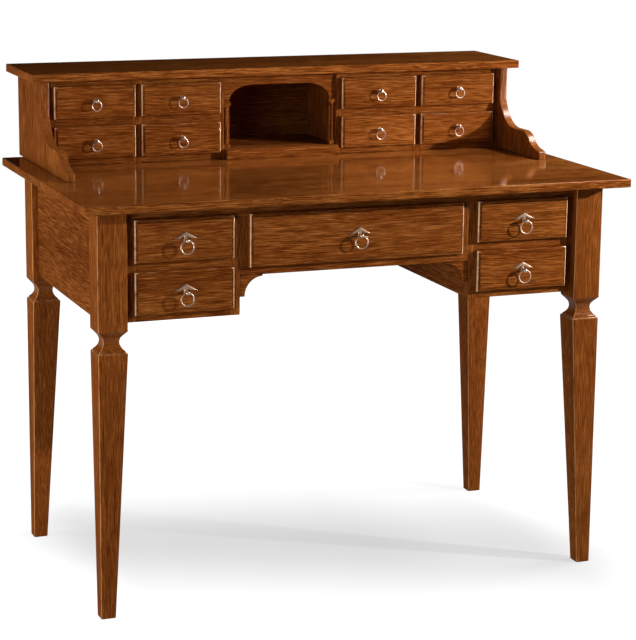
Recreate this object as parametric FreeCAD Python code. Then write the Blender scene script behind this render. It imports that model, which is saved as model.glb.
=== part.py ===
"""Bonheur du jour: a small writing desk with a drawer gallery on its top.

Millimetres. +X is the sitter's right, +Y runs from the sitter to the back, +Z is up.
The origin is on the floor, under the middle of the whole piece.
Every function below makes one sub-part and returns its solids; the last block writes them out.
"""
import FreeCAD, Part
import math
import os

os.makedirs("parts", exist_ok=True)
V = FreeCAD.Vector

# ------------------------------------------------------------------ driving dimensions
# Writing top
top_width = 1080.0
top_depth = 633.0
top_thickness = 16.0
top_height = 780.0              # floor to writing surface
slab_edge_round = 4.0           # eased edges of the writing top and of the gallery top
largest_round = 0.45            # share of a board's thickness that a rounded edge may take

# Legs: square block, waisted neck, then plumb outer faces and tapered inner ones
leg_size = 56.0
foot_size = 28.0
leg_inset_side = 34.5           # writing top past the leg's outer face
leg_inset_front = 48.0
leg_inset_back = 43.5
block_below_case = 12.5         # the square block runs this far below the case
neck_length = 39.5              # from the block down to the tapered part's shoulder
neck_size = 31.0                # across the waist
waist_drop = 19.0               # from the block down to the waist
neck_foot_size = 49.0           # across the neck where it meets the shoulder
neck_fillet_height = 2.5        # small upright band between the cove and the shoulder
shoulder_round = 3.0
leg_edge_round = 1.5

# Case front: what shows between the drawer fronts
front_recess = 5.0              # drawer fronts stand this far behind the legs' front faces
front_overlay = 12.0            # drawer fronts stand this far in front of the frame
frame_thickness = 20.0
drawer_lip = 5.0                # front laps the frame this far round its opening
drawer_height = 80.5            # the four side drawers
side_drawer_width = 190.5
centre_drawer_height = 100.5
top_rail_reveal = 21.0
mid_rail_reveal = 15.5
bottom_rail_reveal = 12.5
apron_reveal = 15.0             # rail under the centre drawer
stile_reveal = 15.0             # between the leg and the side drawers
centre_stile_reveal = 29.0      # between the side drawers and the centre drawer

# Case panels
panel_thickness = 18.0
panel_recess = 12.5             # side and back panels stand behind the legs' outer faces
bracket_width = 46.0            # cove-cut blocks in the corners under the centre drawer
bracket_height = 41.0
bracket_tip = 4.0               # wood left at the end of the cove, under the rail
bracket_foot = 11.0             # wood left at the end of the cove, beside the pedestal
bracket_thickness = 16.0
bracket_recess = 12.0           # behind the frame's front

# Drawer boxes and their running clearances
side_board = 10.0
bottom_board = 5.0
drawer_back_gap = 26.0          # behind a closed case drawer, to the back panel
rebate_depth = 8.0              # part of each front that enters its opening
run_gap = 1.0                   # drawer to opening, each side and above
seat_gap = 0.3                  # drawer to runner, and front to frame
runner_height = 15.0
runner_width = 30.0
guide_height = 18.0
field_inset = 6.0               # raised field inside the rounded edge of each front
field_rise = 1.5
front_edge_round = 5.0

# Gallery
gallery_side_inset = 41.5       # writing top past the gallery side's outer face
gallery_side_thickness = 16.0
gallery_top_thickness = 16.0
gallery_top_side_overhang = 20.5
gallery_top_front_overhang = 12.0
gallery_top_back_overhang = 15.0
gallery_side_depth = 191.0      # upper part of the side
gallery_back_overhang = 41.0    # gallery top past the back edge of the writing top
gallery_front_recess = 5.0      # gallery drawers behind the front edge of the sides
gallery_overlay = 12.0
gallery_drawer_width = 165.5
gallery_drawer_height = 64.0
gallery_lip = 3.0
gallery_stile_reveal = 11.0     # between the side and the outer drawers
gallery_gap_reveal = 11.0       # between two drawers of a pair
gallery_divider_reveal = 9.0    # between the inner drawers and the niche
gallery_rail_reveal = 11.0      # above the upper row
gallery_shelf_reveal = 15.5     # between the rows
gallery_base_reveal = 13.0      # below the lower row
gallery_frame_thickness = 16.0
gallery_side_board = 8.0
gallery_bottom_board = 4.0
gallery_drawer_back_gap = 18.0  # behind a closed gallery drawer, to the gallery's back
gallery_back_thickness = 8.0

# Niche
niche_floor_thickness = 20.0
niche_floor_projection = 19.5   # in front of the gallery frame
arch_board_thickness = 15.0
arch_recess = 5.5               # behind the gallery frame's front
arch_leg_width = 13.5
arch_rise = 31.0                # height of the rounded corners
arch_run = 52.0                 # width of the rounded corners
arch_header = 20.5              # board above the opening
column_radius = 3.2
capital_height = 9.5
capital_drop = 3.0              # below the springing of the arch
column_base_height = 8.5
capital_projection = 4.5
capital_overhang = 1.5          # past the arch leg's inner edge

# Scrolled front of the gallery sides. Lengths run forward from the upper part's front
# edge, heights up from the writing top, and each swell is a curve's depth from its chord.
scroll_top_height = 102.5       # where the upright edge starts to sweep forward
scroll_sweep_swell = 13.5
scroll_step_start = 65.5
scroll_step_end = 103.5
scroll_step_height = 50.0
scroll_nose_swell = 4.5
scroll_nose_depth = 138.0
scroll_nose_height = 35.0
scroll_cove_swell = 3.2
scroll_cove_depth = 172.0
scroll_cove_height = 19.5
scroll_toe_depth = 183.0
scroll_toe_height = 17.0
scroll_toe_swell = 1.2
scroll_depth = 188.5
scroll_lip_height = 13.0

# Pulls: a ring hanging in an eye, on a roof-shaped plate (case) or a small rose (gallery)
plate_half_width = 22.5         # middle to the tip of an arm
plate_rise = 13.5               # tips up to the ridge
plate_lift = 2.0                # pivot up to the tips
plate_arm = 8.5                 # height of an arm
plate_tongue_half = 4.0         # tongue behind the eye
plate_tongue_drop = 4.5
plate_thickness = 3.0
plate_bevel = 1.2
eye_stand_off = 12.0            # drawer front to the ring's pivot
eye_radius = 4.4
eye_hole_radius = 2.3
eye_post_radius = 2.5
ring_radius = 12.6              # centre line
ring_wire_radius = 1.45
rose_radius = 6.0
rose_thickness = 2.0
rose_edge_round = 1.0
small_eye_stand_off = 10.5
small_eye_radius = 4.8
small_eye_hole_radius = 2.6
small_eye_post_radius = 2.4
small_ring_radius = 9.4
small_ring_wire_radius = 1.3
small_pull_rise = 3.0           # gallery pulls sit this far above the drawer's middle

# ------------------------------------------------------------------ planes and heights
case_top = top_height - top_thickness
total_depth = top_depth + gallery_back_overhang
top_front = -total_depth / 2.0
top_back = top_front + top_depth

leg_outer = top_width / 2.0 - leg_inset_side
leg_inner = leg_outer - leg_size
leg_front = top_front + leg_inset_front
leg_back = top_back - leg_inset_back

front_plane = leg_front + front_recess
frame_front = front_plane + front_overlay
frame_back = frame_front + frame_thickness

upper_drawer_top = case_top - top_rail_reveal
upper_drawer_bottom = upper_drawer_top - drawer_height
lower_drawer_top = upper_drawer_bottom - mid_rail_reveal
lower_drawer_bottom = lower_drawer_top - drawer_height
case_bottom = lower_drawer_bottom - bottom_rail_reveal
centre_drawer_bottom = upper_drawer_top - centre_drawer_height
apron_bottom = centre_drawer_bottom - apron_reveal
block_bottom = case_bottom - block_below_case
shoulder_top = block_bottom - neck_length

side_drawer_outer = leg_inner - stile_reveal
side_drawer_inner = side_drawer_outer - side_drawer_width
centre_drawer_half = side_drawer_inner - centre_stile_reveal

pedestal_outer = side_drawer_inner + drawer_lip
pedestal_inner = pedestal_outer - panel_thickness
stile_inner = side_drawer_outer - drawer_lip
side_panel_outer = leg_outer - panel_recess
side_panel_inner = side_panel_outer - panel_thickness
back_panel_back = leg_back - panel_recess
back_panel_front = back_panel_back - panel_thickness
drawer_length = back_panel_front - drawer_back_gap - (frame_front + rebate_depth)

gallery_outer = top_width / 2.0 - gallery_side_inset
gallery_inner = gallery_outer - gallery_side_thickness
gallery_back = top_front + total_depth - gallery_top_back_overhang
gallery_front = gallery_back - gallery_side_depth
gallery_front_plane = gallery_front + gallery_front_recess
gallery_frame_front = gallery_front_plane + gallery_overlay
gallery_frame_back = gallery_frame_front + gallery_frame_thickness
gallery_back_front = gallery_back - gallery_back_thickness
gallery_plug_back = gallery_frame_front + rebate_depth
gallery_drawer_length = gallery_back_front - gallery_drawer_back_gap - gallery_plug_back

lower_row_bottom = top_height + gallery_base_reveal
lower_row_top = lower_row_bottom + gallery_drawer_height
upper_row_bottom = lower_row_top + gallery_shelf_reveal
upper_row_top = upper_row_bottom + gallery_drawer_height
gallery_top_bottom = upper_row_top + gallery_rail_reveal
gallery_top_top = gallery_top_bottom + gallery_top_thickness

outer_bay_outer = gallery_inner - gallery_stile_reveal
outer_bay_inner = outer_bay_outer - gallery_drawer_width
inner_bay_outer = outer_bay_inner - gallery_gap_reveal
inner_bay_inner = inner_bay_outer - gallery_drawer_width
niche_half = inner_bay_inner - gallery_divider_reveal
niche_floor_top = top_height + niche_floor_thickness
arch_front = gallery_frame_front + arch_recess
arch_half = niche_half - arch_leg_width
arch_crown = gallery_top_bottom - arch_header
arch_spring = arch_crown - arch_rise


# ------------------------------------------------------------------ small helpers
def board(x0, x1, y0, y1, z0, z1):
    """A rectangular board between two corners."""
    return Part.makeBox(x1 - x0, y1 - y0, z1 - z0, V(x0, y0, z0))


def mirrored(solids):
    """The same pieces on the other side of the desk."""
    return [s.mirror(V(0, 0, 0), V(1, 0, 0)) for s in solids]


def both_sides(solids):
    return solids + mirrored(solids)


def extruded(edges, direction):
    """A solid from one closed outline, pushed along a direction."""
    return Part.Face(Part.Wire(edges)).extrude(direction)


def line(a, b):
    return Part.LineSegment(a, b).toShape()


def arc(a, middle, b):
    return Part.Arc(a, middle, b).toShape()


def path(points):
    """Straight edges through the points, in order."""
    return [line(a, b) for a, b in zip(points, points[1:])]


def edges_along(solid, direction):
    """Straight edges that run along one axis."""
    found = []
    for edge in solid.Edges:
        if len(edge.Vertexes) == 2:
            run = edge.Vertexes[1].Point - edge.Vertexes[0].Point
            if abs(abs(run.dot(direction)) - run.Length) < 1e-6:
                found.append(edge)
    return found


def eased(slab):
    """A slab with every edge rounded, as a sanded board has."""
    radius = min(slab_edge_round, slab.BoundBox.ZLength * largest_round)
    return slab.makeFillet(radius, slab.Edges)


def save(name, solids):
    """Write one sub-part, after checking that each of its solids is sound."""
    for solid in solids:
        if not solid.isValid() or solid.Volume <= 0:
            raise ValueError("bad solid in " + name)
    shape = solids[0] if len(solids) == 1 else Part.makeCompound(solids)
    shape.exportStep("parts/" + name + ".step")
    print(name, len(solids), round(sum(s.Volume for s in solids)))


# ------------------------------------------------------------------ desk
def desk_top():
    slab = board(-top_width / 2, top_width / 2, top_front, top_back, case_top, top_height)
    return [eased(slab)]


def leg_outline(outward):
    """One side of the leg's outline, from the block's top down, as (sideways, height).

    outward is 1 on the side away from the desk's middle, where the leg stays plumb, and -1 on
    the other, where it tapers.
    """
    half = leg_size / 2
    neck_foot = neck_foot_size / 2
    band_top = shoulder_top + neck_fillet_height
    sag = shoulder_round * (1 - math.sqrt(0.5))
    foot = half if outward > 0 else half - foot_size
    return {
        "top": V(outward * half, 0, case_top),
        "block": V(outward * half, 0, block_bottom),
        "waist": V(outward * neck_size / 2, 0, block_bottom - waist_drop),
        "neck_foot": V(outward * neck_foot, 0, band_top),
        "band": V(outward * neck_foot, 0, shoulder_top),
        "shoulder_in": V(outward * (half - shoulder_round), 0, shoulder_top),
        "shoulder_mid": V(outward * (half - sag), 0, shoulder_top - sag),
        "shoulder_out": V(outward * half, 0, shoulder_top - shoulder_round),
        "foot": V(foot, 0, 0),
    }


def leg_side(o):
    """The edges down one side of the leg."""
    return [line(o["top"], o["block"]),
            arc(o["block"], o["waist"], o["neck_foot"]),
            line(o["neck_foot"], o["band"]),
            line(o["band"], o["shoulder_in"]),
            arc(o["shoulder_in"], o["shoulder_mid"], o["shoulder_out"]),
            line(o["shoulder_out"], o["foot"])]


def leg(side, end):
    """Square leg, waisted under its block and tapered on its two inner faces.

    side is 1 for the right-hand legs and -1 for the left; end is 1 at the back, -1 at the front.
    """
    outer = leg_outline(1)
    inner = leg_outline(-1)
    ends = [line(inner["top"], outer["top"]), line(inner["foot"], outer["foot"])]
    outline = Part.Wire(Part.__sortEdges__(leg_side(outer) + leg_side(inner) + ends))
    seen_from_front = Part.Face(outline).extrude(V(0, 2 * leg_size, 0))
    seen_from_front.translate(V(0, -leg_size, 0))
    seen_from_side = seen_from_front.copy()
    seen_from_side.rotate(V(0, 0, 0), V(0, 0, 1), 90)
    solid = seen_from_front.common(seen_from_side).Solids[0]
    block_arrises = [e for e in edges_along(solid, V(0, 0, 1)) if e.BoundBox.ZMin > block_bottom - 1]
    solid = solid.makeFillet(leg_edge_round, block_arrises)
    if side < 0:
        solid = solid.mirror(V(0, 0, 0), V(1, 0, 0))
    if end < 0:
        solid = solid.mirror(V(0, 0, 0), V(0, 1, 0))
    outer_face = leg_back if end > 0 else leg_front
    solid.translate(V(side * (leg_outer - leg_size / 2), outer_face - end * leg_size / 2, 0))
    return [solid]


def front_frame():
    """Rails and stiles that frame the five case drawers."""
    y0, y1 = frame_front, frame_back
    opening_top = upper_drawer_top - drawer_lip
    top_rail = board(-leg_inner, leg_inner, y0, y1, opening_top, case_top)
    apron_top = centre_drawer_bottom + drawer_lip
    centre_half = centre_drawer_half - drawer_lip
    apron = board(-pedestal_inner, pedestal_inner, y0, y1, apron_bottom, apron_top)
    leg_stile = board(stile_inner, leg_inner, y0, y1, case_bottom, opening_top)
    pedestal_stile = board(pedestal_inner, pedestal_outer, y0, y1, case_bottom, opening_top)
    centre_block = board(centre_half, pedestal_inner, y0, y1, apron_top, opening_top)
    mid_rail = board(pedestal_outer, stile_inner, y0, y1,
                     lower_drawer_top - drawer_lip, upper_drawer_bottom + drawer_lip)
    bottom_rail = board(pedestal_outer, stile_inner, y0, y1,
                        case_bottom, lower_drawer_bottom + drawer_lip)
    pair = [leg_stile, pedestal_stile, centre_block, mid_rail, bottom_rail]
    return [top_rail, apron] + both_sides(pair)


def side_panel():
    """Right-hand side panel, between the legs."""
    return [board(side_panel_inner, side_panel_outer, leg_front + leg_size, leg_back - leg_size,
                  case_bottom, case_top)]


def back_panel():
    return [board(-leg_inner, leg_inner, back_panel_front, back_panel_back, case_bottom, case_top)]


def pedestal_side():
    """Right-hand inner panel of the drawer pedestal, from the frame to the back panel."""
    return [board(pedestal_inner, pedestal_outer, frame_back, back_panel_front,
                  case_bottom, case_top)]


def corner_bracket():
    """Right-hand cove-cut block in the corner of the apron rail and the pedestal."""
    y = frame_front + bracket_recess
    root = pedestal_inner
    tip = root - bracket_width
    low = apron_bottom - bracket_height
    cove_low = V(root - bracket_foot, y, low)
    cove_high = V(tip, y, apron_bottom - bracket_tip)
    run = cove_low.x - cove_high.x
    rise = cove_high.z - cove_low.z
    cove_mid = V(tip + run * math.sqrt(0.5), y, low + rise * math.sqrt(0.5))
    edges = path([cove_low, V(root, y, low), V(root, y, apron_bottom),
                  V(tip, y, apron_bottom), cove_high])
    edges.append(arc(cove_high, cove_mid, cove_low))
    return [extruded(edges, V(0, bracket_thickness, 0))]


def drawer_runners():
    """Runners under each case drawer and the guides beside the outer ones."""
    y0, y1 = frame_back, back_panel_front
    solids = []
    box_outer = stile_inner - run_gap
    for bottom in (upper_drawer_bottom, lower_drawer_bottom):
        seat = bottom + drawer_lip
        solids.append(board(pedestal_outer, pedestal_outer + runner_width, y0, y1,
                            seat - runner_height, seat))
        solids.append(board(box_outer - runner_width, side_panel_inner, leg_front + leg_size,
                            leg_back - leg_size, seat - runner_height, seat))
        solids.append(board(stile_inner, side_panel_inner, leg_front + leg_size,
                            leg_back - leg_size, seat, seat + guide_height))
    centre_seat = centre_drawer_bottom + drawer_lip
    centre_box = centre_drawer_half - drawer_lip - run_gap
    solids.append(board(centre_box - runner_width, pedestal_inner, y0, y1,
                        centre_seat - runner_height, centre_seat))
    return both_sides(solids)


# ------------------------------------------------------------------ drawers
def drawer(x0, x1, z0, z1, plane, overlay, lip, length, board_side, board_bottom):
    """One lipped drawer: front, two sides, back and bottom, each a solid of its own.

    x0..x1 and z0..z1 are the front's outline; plane is its face.
    """
    back_of_lip = plane + overlay - seat_gap
    lip_plate = board(x0, x1, plane + field_rise, back_of_lip, z0, z1)
    rounding = min(front_edge_round, (overlay - field_rise) * largest_round)
    lip_plate = lip_plate.makeFillet(rounding, front_rim(lip_plate))
    field = board(x0 + field_inset, x1 - field_inset, plane, plane + overlay / 2,
                  z0 + field_inset, z1 - field_inset)
    bx0, bx1 = x0 + lip + run_gap, x1 - lip - run_gap
    bz0, bz1 = z0 + lip + seat_gap, z1 - lip - run_gap
    plug_back = plane + overlay + rebate_depth
    plug = board(bx0, bx1, plane + overlay / 2, plug_back, bz0, bz1)
    front = lip_plate.fuse([field, plug]).removeSplitter().Solids[0]
    end = plug_back + length
    left = board(bx0, bx0 + board_side, plug_back, end, bz0, bz1)
    right = board(bx1 - board_side, bx1, plug_back, end, bz0, bz1)
    back = board(bx0 + board_side, bx1 - board_side, end - board_side, end, bz0, bz1)
    bottom = board(bx0 + board_side, bx1 - board_side, plug_back, end - board_side,
                   bz0, bz0 + board_bottom)
    return [front, left, right, back, bottom]


def front_rim(plate):
    """The four edges round a plate's foremost face."""
    face = plate.BoundBox.YMin
    return [e for e in plate.Edges if e.BoundBox.YMax - face < 1e-6]


def case_drawer(x0, x1, z0, z1):
    return drawer(x0, x1, z0, z1, front_plane, front_overlay, drawer_lip, drawer_length,
                  side_board, bottom_board)


def gallery_drawer(x0, z0):
    return drawer(x0, x0 + gallery_drawer_width, z0, z0 + gallery_drawer_height,
                  gallery_front_plane, gallery_overlay, gallery_lip, gallery_drawer_length,
                  gallery_side_board, gallery_bottom_board)


# ------------------------------------------------------------------ pulls
def eye(x, z, face, stand_off, radius, hole, post_radius):
    """A post and a ball, drilled across for the ring; face is where the post starts."""
    pivot = V(x, face - stand_off, z)
    post = Part.makeCylinder(post_radius, stand_off, V(x, face - stand_off, z), V(0, 1, 0))
    ball = Part.makeSphere(radius, pivot)
    drill = Part.makeCylinder(hole, 4 * radius, pivot - V(2 * radius, 0, 0), V(1, 0, 0))
    return post.fuse(ball), drill


def case_pull(x, z):
    """Roof-shaped plate, two arms falling from a ridge, with its eye in the middle."""
    face = front_plane
    slope = plate_rise / plate_half_width
    length = math.hypot(plate_half_width, plate_rise)
    arm_depth = plate_arm * plate_half_width / length
    end_in = arm_depth * plate_rise / length
    end_down = arm_depth * plate_half_width / length
    tip = plate_lift
    notch = tip + plate_rise - plate_arm - slope * plate_tongue_half
    right = [(plate_half_width, tip), (plate_half_width - end_in, tip - end_down),
             (plate_tongue_half, notch), (plate_tongue_half, -plate_tongue_drop)]
    left = [(-across, up) for across, up in reversed(right)]
    outline = [(0.0, tip + plate_rise)] + right + left + [(0.0, tip + plate_rise)]
    corners = [V(x + across, face, z + up) for across, up in outline]
    plate = extruded(path(corners), V(0, -plate_thickness, 0))
    plate = plate.makeChamfer(plate_bevel, front_rim(plate))
    post, drill = eye(x, z, face, eye_stand_off, eye_radius, eye_hole_radius, eye_post_radius)
    return [plate.fuse(post).removeSplitter().cut(drill).Solids[0]]


def gallery_pull(x, z):
    """Small round rose with its eye."""
    face = gallery_front_plane
    rose = Part.makeCylinder(rose_radius, rose_thickness, V(x, face - rose_thickness, z), V(0, 1, 0))
    outer_rim = [e for e in rose.Edges if abs(e.BoundBox.YMax - (face - rose_thickness)) < 1e-6]
    rose = rose.makeFillet(rose_edge_round, outer_rim)
    post, drill = eye(x, z, face, small_eye_stand_off, small_eye_radius, small_eye_hole_radius,
                      small_eye_post_radius)
    return [rose.fuse(post).removeSplitter().cut(drill).Solids[0]]


def ring(x, z, pivot_y, radius, wire):
    """A ring hanging with its top in the eye."""
    return [Part.makeTorus(radius, wire, V(x, pivot_y, z - radius), V(0, 1, 0))]


# ------------------------------------------------------------------ gallery
def gallery_top():
    half = gallery_outer + gallery_top_side_overhang
    slab = board(-half, half, gallery_front - gallery_top_front_overhang,
                 gallery_back + gallery_top_back_overhang, gallery_top_bottom, gallery_top_top)
    return [eased(slab)]


def gallery_side():
    """Right-hand side: upright above, sweeping forward to a scrolled foot."""
    def at(forward, up):
        return V(gallery_inner, gallery_front - forward, top_height + up)

    def swelled(a, b, swell):
        """An arc from a to b that stands swell above its chord."""
        chord = b - a
        above = V(0, -chord.z, chord.y) * (1 / chord.Length)
        if above.z < 0:
            above = above * -1
        return arc(a, (a + b) * 0.5 + above * swell, b)

    upright_end = at(0, scroll_top_height)
    step_start = at(scroll_step_start, scroll_step_height)
    step_end = at(scroll_step_end, scroll_step_height)
    nose = at(scroll_nose_depth, scroll_nose_height)
    cove_end = at(scroll_cove_depth, scroll_cove_height)
    toe = at(scroll_toe_depth, scroll_toe_height)
    lip = at(scroll_depth, scroll_lip_height)
    foot = at(scroll_depth, 0)
    back_low = V(gallery_inner, gallery_back, top_height)
    back_high = V(gallery_inner, gallery_back, gallery_top_bottom)
    front_high = V(gallery_inner, gallery_front, gallery_top_bottom)
    edges = [swelled(upright_end, step_start, -scroll_sweep_swell),
             line(step_start, step_end),
             swelled(step_end, nose, scroll_nose_swell),
             swelled(nose, cove_end, -scroll_cove_swell),
             line(cove_end, toe),
             swelled(toe, lip, scroll_toe_swell)]
    edges += path([lip, foot, back_low, back_high, front_high, upright_end])
    return [extruded(edges, V(gallery_side_thickness, 0, 0))]


def gallery_back_panel():
    return [board(-gallery_inner, gallery_inner, gallery_back_front, gallery_back,
                  top_height, gallery_top_bottom)]


def gallery_dividers():
    """Uprights beside the niche and between the drawers of each pair, and the outer stiles."""
    y0 = gallery_frame_front
    y1 = gallery_back_front
    niche_side = board(niche_half, inner_bay_inner + gallery_lip, y0, y1,
                       top_height, gallery_top_bottom)
    partition = board(inner_bay_outer - gallery_lip, outer_bay_inner + gallery_lip, y0, y1,
                      top_height, gallery_top_bottom)
    stile = board(outer_bay_outer - gallery_lip, gallery_inner, y0, gallery_frame_back,
                  top_height, gallery_top_bottom)
    return both_sides([niche_side, partition, stile])


def gallery_bays():
    """The drawer openings' left and right edges, right-hand side, inner bay first."""
    return [(inner_bay_inner + gallery_lip, inner_bay_outer - gallery_lip),
            (outer_bay_inner + gallery_lip, outer_bay_outer - gallery_lip)]


def gallery_shelves():
    """Boards between the two rows of drawers."""
    shelves = []
    for x0, x1 in gallery_bays():
        shelves.append(board(x0, x1, gallery_frame_front, gallery_back_front,
                             lower_row_top - gallery_lip, upper_row_bottom + gallery_lip))
    return both_sides(shelves)


def gallery_rails():
    """Rails above the upper row, under the gallery top."""
    rails = []
    for x0, x1 in gallery_bays():
        rails.append(board(x0, x1, gallery_frame_front, gallery_frame_back,
                           upper_row_top - gallery_lip, gallery_top_bottom))
    return rails


def gallery_base():
    """Boards that lie on the writing top: under the drawers, and the thicker niche floor."""
    boards = []
    for x0, x1 in gallery_bays():
        boards.append(board(x0, x1, gallery_frame_front, gallery_back_front,
                            top_height, lower_row_bottom + gallery_lip))
    niche_floor_front = gallery_frame_front - niche_floor_projection
    niche_floor = board(-niche_half, niche_half, niche_floor_front, gallery_back_front,
                        top_height, niche_floor_top)
    return both_sides(boards) + [niche_floor]


def rounded_corner(sign):
    """The arch's rounded corner: a quarter of an ellipse, from the leg up to the flat crown."""
    middle = V(sign * (arch_half - arch_run), arch_front, arch_spring)
    along = V(sign * arch_half, arch_front, arch_spring)
    up = V(sign * (arch_half - arch_run), arch_front, arch_crown)
    whole = Part.Ellipse(along, up, middle)
    return Part.ArcOfEllipse(whole, 0, math.pi / 2).toShape()


def niche_arch():
    """Arched board in the niche, with a half column, capital and base block on each leg."""
    y0 = arch_front
    outline = path([V(arch_half, y0, arch_spring), V(arch_half, y0, niche_floor_top),
                    V(niche_half, y0, niche_floor_top), V(niche_half, y0, gallery_top_bottom),
                    V(-niche_half, y0, gallery_top_bottom), V(-niche_half, y0, niche_floor_top),
                    V(-arch_half, y0, niche_floor_top), V(-arch_half, y0, arch_spring)])
    crown = line(V(arch_run - arch_half, y0, arch_crown), V(arch_half - arch_run, y0, arch_crown))
    outline += [rounded_corner(-1), crown, rounded_corner(1)]
    arch = Part.Face(Part.Wire(Part.__sortEdges__(outline))).extrude(V(0, arch_board_thickness, 0))
    return [arch] + both_sides([niche_column()])


def niche_column():
    """Right-hand half column with its capital and base, on the face of the arch's leg."""
    y0 = arch_front
    middle = arch_half + arch_leg_width / 2
    capital_top = arch_spring - capital_drop
    low, high = niche_floor_top, capital_top - capital_height
    shaft = Part.makeCylinder(column_radius, high - low, V(middle, y0, low), V(0, 0, 1))
    front_half = board(middle - leg_size, middle + leg_size, y0 - leg_size, y0, low, high)
    capital = board(arch_half - capital_overhang, niche_half, y0 - capital_projection, y0,
                    high, capital_top)
    base = board(arch_half, niche_half, y0 - capital_projection, y0,
                 low, low + column_base_height)
    return shaft.common(front_half).fuse([capital, base]).removeSplitter().Solids[0]


# ------------------------------------------------------------------ write the sub-parts
def make_desk():
    save("desk_top", desk_top())
    save("leg_front_left", leg(-1, -1))
    save("leg_front_right", leg(1, -1))
    save("leg_back_left", leg(-1, 1))
    save("leg_back_right", leg(1, 1))
    save("front_frame", front_frame())
    save("side_panel_left", mirrored(side_panel()))
    save("side_panel_right", side_panel())
    save("back_panel", back_panel())
    save("pedestal_side_left", mirrored(pedestal_side()))
    save("pedestal_side_right", pedestal_side())
    save("corner_brackets", both_sides(corner_bracket()))
    save("drawer_runners", drawer_runners())


def make_gallery():
    save("gallery_top", gallery_top())
    save("gallery_side_left", mirrored(gallery_side()))
    save("gallery_side_right", gallery_side())
    save("gallery_back_panel", gallery_back_panel())
    save("gallery_dividers", gallery_dividers() + both_sides(gallery_rails()))
    save("gallery_shelves", gallery_shelves())
    save("gallery_base", gallery_base())
    save("niche_arch", niche_arch())


def make_case_drawers():
    outer, inner = side_drawer_outer, side_drawer_inner
    fronts = {
        "left_upper": (-outer, -inner, upper_drawer_bottom, upper_drawer_top),
        "left_lower": (-outer, -inner, lower_drawer_bottom, lower_drawer_top),
        "centre": (-centre_drawer_half, centre_drawer_half, centre_drawer_bottom, upper_drawer_top),
        "right_upper": (inner, outer, upper_drawer_bottom, upper_drawer_top),
        "right_lower": (inner, outer, lower_drawer_bottom, lower_drawer_top),
    }
    for name, (x0, x1, z0, z1) in fronts.items():
        x, z = (x0 + x1) / 2, (z0 + z1) / 2
        save(name + "_drawer", case_drawer(x0, x1, z0, z1))
        save(name + "_pull_plate", case_pull(x, z))
        save(name + "_pull_ring", ring(x, z, front_plane - eye_stand_off, ring_radius,
                                       ring_wire_radius))


def make_gallery_drawers():
    columns = {
        "gallery_far_left": -outer_bay_outer,
        "gallery_mid_left": -inner_bay_outer,
        "gallery_mid_right": inner_bay_inner,
        "gallery_far_right": outer_bay_inner,
    }
    rows = {"upper": upper_row_bottom, "lower": lower_row_bottom}
    for column, x0 in columns.items():
        for row, z0 in rows.items():
            name = column + "_" + row
            x = x0 + gallery_drawer_width / 2
            z = z0 + gallery_drawer_height / 2 + small_pull_rise
            save(name + "_drawer", gallery_drawer(x0, z0))
            save(name + "_pull_rose", gallery_pull(x, z))
            save(name + "_pull_ring", ring(x, z, gallery_front_plane - small_eye_stand_off,
                                           small_ring_radius, small_ring_wire_radius))


make_desk()
make_gallery()
make_case_drawers()
make_gallery_drawers()
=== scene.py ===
"""Bonheur du jour: the finished look of its walnut boards, drawers and ring pulls.

Metres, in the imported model's frame: +X is the sitter's right, +Y the back, +Z up.
"""
import bpy
import bmesh
import math
import random
from mathutils import Matrix, Vector

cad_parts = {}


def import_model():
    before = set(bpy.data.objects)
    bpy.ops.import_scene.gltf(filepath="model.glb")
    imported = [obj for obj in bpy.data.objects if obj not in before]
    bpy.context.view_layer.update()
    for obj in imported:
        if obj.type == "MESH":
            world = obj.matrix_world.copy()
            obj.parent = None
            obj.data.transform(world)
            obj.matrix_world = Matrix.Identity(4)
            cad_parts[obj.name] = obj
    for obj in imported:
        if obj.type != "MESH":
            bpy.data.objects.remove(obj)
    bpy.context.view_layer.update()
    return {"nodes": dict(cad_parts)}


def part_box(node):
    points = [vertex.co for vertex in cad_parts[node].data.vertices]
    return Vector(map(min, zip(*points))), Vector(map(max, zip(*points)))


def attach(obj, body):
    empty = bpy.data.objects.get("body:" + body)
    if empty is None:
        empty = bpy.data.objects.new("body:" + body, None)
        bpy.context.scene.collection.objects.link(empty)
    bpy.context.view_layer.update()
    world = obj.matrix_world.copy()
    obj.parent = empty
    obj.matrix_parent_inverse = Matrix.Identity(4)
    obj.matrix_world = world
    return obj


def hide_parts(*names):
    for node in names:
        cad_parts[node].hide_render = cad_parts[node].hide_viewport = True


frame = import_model()
MM = 0.001


# ------------------------------------------------------------------ colour and node helpers
def srgb(red, green, blue):
    """A colour as it looks, 0 to 255, in the shader's linear numbers."""
    def linear(value):
        value /= 255.0
        return value / 12.92 if value <= 0.04045 else ((value + 0.055) / 1.055) ** 2.4
    return (linear(red), linear(green), linear(blue), 1.0)


def put(tree, kind, **settings):
    """A new node with its settings."""
    made = tree.nodes.new(kind)
    for key, value in settings.items():
        setattr(made, key, value)
    return made


def feed(tree, socket, value):
    """Link an output to a socket, or set the socket's own value."""
    if isinstance(value, bpy.types.NodeSocket):
        tree.links.new(value, socket)
    else:
        socket.default_value = value


def sum_of(tree, operation, a, b=0.0, clamp=False):
    """One step of arithmetic on two values."""
    made = put(tree, "ShaderNodeMath", operation=operation, use_clamp=clamp)
    feed(tree, made.inputs[0], a)
    feed(tree, made.inputs[1], b)
    return made.outputs[0]


def spread(tree, value, low, high, to_low=0.0, to_high=1.0):
    """The value's share between low and high, eased at both ends."""
    made = put(tree, "ShaderNodeMapRange", interpolation_type="SMOOTHSTEP")
    feed(tree, made.inputs["Value"], value)
    feed(tree, made.inputs["From Min"], low)
    feed(tree, made.inputs["From Max"], high)
    feed(tree, made.inputs["To Min"], to_low)
    feed(tree, made.inputs["To Max"], to_high)
    return made.outputs["Result"]


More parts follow.
